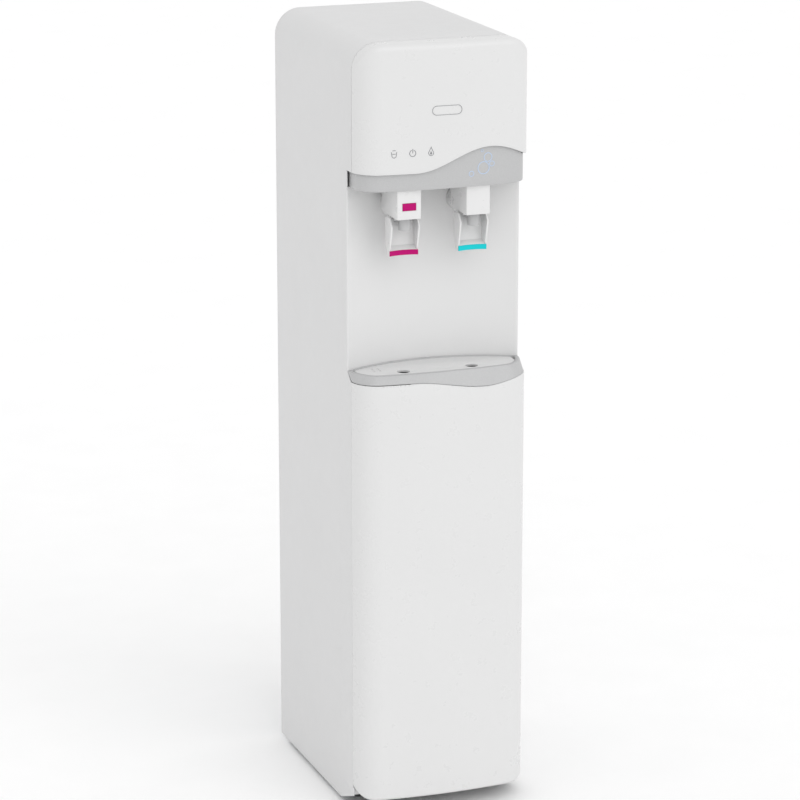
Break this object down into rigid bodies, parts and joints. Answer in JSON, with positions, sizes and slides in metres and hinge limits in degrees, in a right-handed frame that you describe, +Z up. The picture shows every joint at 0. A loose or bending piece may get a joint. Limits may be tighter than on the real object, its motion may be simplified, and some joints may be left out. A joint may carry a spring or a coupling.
{
  "type": "floor-standing water dispenser",
  "caption": "Slim floor-standing hot and cold water dispenser: white rounded cabinet, wave-shaped silver trim, open concave bay, lever taps, drip tray, service door.",
  "frame": {"origin": "on the floor, at the centre of the footprint", "axes": "+Z up, +X to the user's right, +Y to the back; the front faces -Y"},
  "size_m": [0.254, 0.3704, 1.106],
  "materials": {
    "cabinet_white": "powder-coated satin white",
    "cover_white": "gloss white",
    "bay_white": "semi-gloss white",
    "trim_silver": "silver-grey metallic paint",
    "inlay_blue": "printed pale blue",
    "print_grey": "printed grey",
    "grille_grey": "fine satin light grey",
    "tap_white": "gloss white",
    "spout_grey": "satin grey",
    "strip_magenta": "gloss magenta",
    "strip_cyan": "gloss cyan",
    "galvanised": "galvanised sheet",
    "stainless": "brushed stainless",
    "steel_pin": "ground steel",
    "black_metal": "black enamel",
    "copper": "drawn copper",
    "foam": "expanded polystyrene foam",
    "rubber_black": "moulded rubber",
    "frame_plastic": "matt light grey",
    "dark_plastic": "matt black",
    "fitting_blue": "matt blue",
    "cap_grey": "matt grey",
    "tube_white": "natural polyethylene",
    "silicone": "silicone",
    "filter_white": "white housing",
    "pcb_green": "solder resist",
    "switch_red": "gloss red",
    "switch_green": "gloss green",
    "mica": "mica and steel band"
  },
  "bodies": {
    "cabinet": {"cabinet_wrap": "cabinet_white", "base_pan": "galvanised", "levelling_feet": "rubber_black", "rear_panel": "galvanised", "rear_uprights": "galvanised", "mid_bulkhead": "galvanised", "lower_shelf": "galvanised", "upper_shelf": "galvanised", "upper_frame": "frame_plastic", "upper_front_cover": "cover_white", "wave_trim": "trim_silver", "bubble_inlays": "inlay_blue", "indicator_icons": "print_grey", "bay_panel": "bay_white", "tray_shelf": "frame_plastic", "door_catches": "dark_plastic", "hot_tap_body": "tap_white", "cold_tap_body": "tap_white", "hot_spout": "spout_grey", "cold_spout": "spout_grey", "lever_pins": "steel_pin", "hot_valve_spring": "steel_pin", "cold_valve_spring": "steel_pin", "cold_tank": "stainless", "cold_tank_jacket": "foam", "evaporator_coil": "copper", "hot_tank": "stainless", "heater_band": "mica", "thermostats": "dark_plastic", "compressor": "black_metal", "compressor_grommets": "rubber_black", "condenser_coil": "black_metal", "condenser_wires": "black_metal", "refrigerant_lines": "copper", "filter_manifold": "frame_plastic", "inlet_valve": "dark_plastic", "inlet_fitting": "fitting_blue", "water_tubes": "tube_white", "control_board": "pcb_green", "power_inlet": "dark_plastic", "switch_bezel": "dark_plastic", "drain_spigots": "frame_plastic", "panel_screws": "steel_pin"},
    "hot_lever": {"hot_lever": "tap_white", "hot_lever_strip": "strip_magenta"},
    "cold_lever": {"cold_lever": "tap_white", "cold_lever_strip": "strip_cyan"},
    "hot_valve_stem": {"hot_valve_stem": "silicone"},
    "cold_valve_stem": {"cold_valve_stem": "silicone"},
    "hot_lock_button": {"hot_lock_button": "strip_magenta"},
    "drip_tray": {"drip_tray": "trim_silver"},
    "drip_grille": {"drip_grille": "grille_grey"},
    "front_door": {"front_door": "cover_white"},
    "sediment_filter": {"sediment_filter": "filter_white"},
    "carbon_filter": {"carbon_filter": "filter_white"},
    "membrane_filter": {"membrane_filter": "filter_white"},
    "hot_switch": {"hot_switch": "switch_red"},
    "cold_switch": {"cold_switch": "switch_green"},
    "cold_drain_cap": {"cold_drain_cap": "cap_grey"},
    "hot_drain_cap": {"hot_drain_cap": "cap_grey"}
  },
  "joints": [
    {"name": "hot_lever_push", "type": "hinge", "parent": "cabinet", "child": "hot_lever", "pos_m": [-0.05325, -0.1665, 0.873], "axis": [1, 0, 0], "range_deg": [0, 12], "stiffness_Nm_per_rad": 0.5, "springref_deg": -6.88},
    {"name": "hot_stem_lift", "type": "slide", "parent": "cabinet", "child": "hot_valve_stem", "axis": [0, 0, 1], "range_m": [0, 0.0026], "deforming": ["hot_valve_spring"]},
    {"name": "cold_lever_push", "type": "hinge", "parent": "cabinet", "child": "cold_lever", "pos_m": [0.04725, -0.1665, 0.873], "axis": [1, 0, 0], "range_deg": [0, 12], "stiffness_Nm_per_rad": 0.5, "springref_deg": -6.88},
    {"name": "cold_stem_lift", "type": "slide", "parent": "cabinet", "child": "cold_valve_stem", "axis": [0, 0, 1], "range_m": [0, 0.0026], "deforming": ["cold_valve_spring"]},
    {"name": "hot_lock_press", "type": "slide", "parent": "cabinet", "child": "hot_lock_button", "axis": [0, 1, 0], "range_m": [0, 0.002], "stiffness_N_per_m": 50, "springref_m": -0.002},
    {"name": "drip_tray_lift", "type": "slide", "parent": "cabinet", "child": "drip_tray", "axis": [0, 0, 1], "range_m": [0, 0.06]},
    {"name": "grille_lift", "type": "slide", "parent": "drip_tray", "child": "drip_grille", "axis": [0, 0, 1], "range_m": [0, 0.03]},
    {"name": "front_door_pull", "type": "slide", "parent": "cabinet", "child": "front_door", "axis": [0, -1, 0], "range_m": [0, 0.08]},
    {"name": "sediment_filter_twist", "type": "hinge", "parent": "cabinet", "child": "sediment_filter", "pos_m": [-0.076, -0.112, 0.35], "axis": [0, 0, 1], "range_deg": [0, 90]},
    {"name": "carbon_filter_twist", "type": "hinge", "parent": "cabinet", "child": "carbon_filter", "pos_m": [0, -0.112, 0.35], "axis": [0, 0, 1], "range_deg": [0, 90]},
    {"name": "membrane_filter_twist", "type": "hinge", "parent": "cabinet", "child": "membrane_filter", "pos_m": [0.076, -0.112, 0.35], "axis": [0, 0, 1], "range_deg": [0, 90]},
    {"name": "hot_switch_rock", "type": "hinge", "parent": "cabinet", "child": "hot_switch", "pos_m": [0.068, 0.157, 0.142], "axis": [1, 0, 0], "range_deg": [0, 14]},
    {"name": "cold_switch_rock", "type": "hinge", "parent": "cabinet", "child": "cold_switch", "pos_m": [0.092, 0.157, 0.142], "axis": [1, 0, 0], "range_deg": [0, 14]},
    {"name": "cold_drain_cap_turn", "type": "hinge", "parent": "cabinet", "child": "cold_drain_cap", "pos_m": [-0.095, 0.17, 0.17], "axis": [0, 1, 0], "range_deg": [0, 350]},
    {"name": "hot_drain_cap_turn", "type": "hinge", "parent": "cabinet", "child": "hot_drain_cap", "pos_m": [-0.055, 0.17, 0.17], "axis": [0, 1, 0], "range_deg": [0, 350]}
  ],
  "couplings": [
    {"joint": "hot_stem_lift", "follows": "hot_lever_push", "m_per_rad": 0.012},
    {"joint": "cold_stem_lift", "follows": "cold_lever_push", "m_per_rad": 0.012}
  ]
}
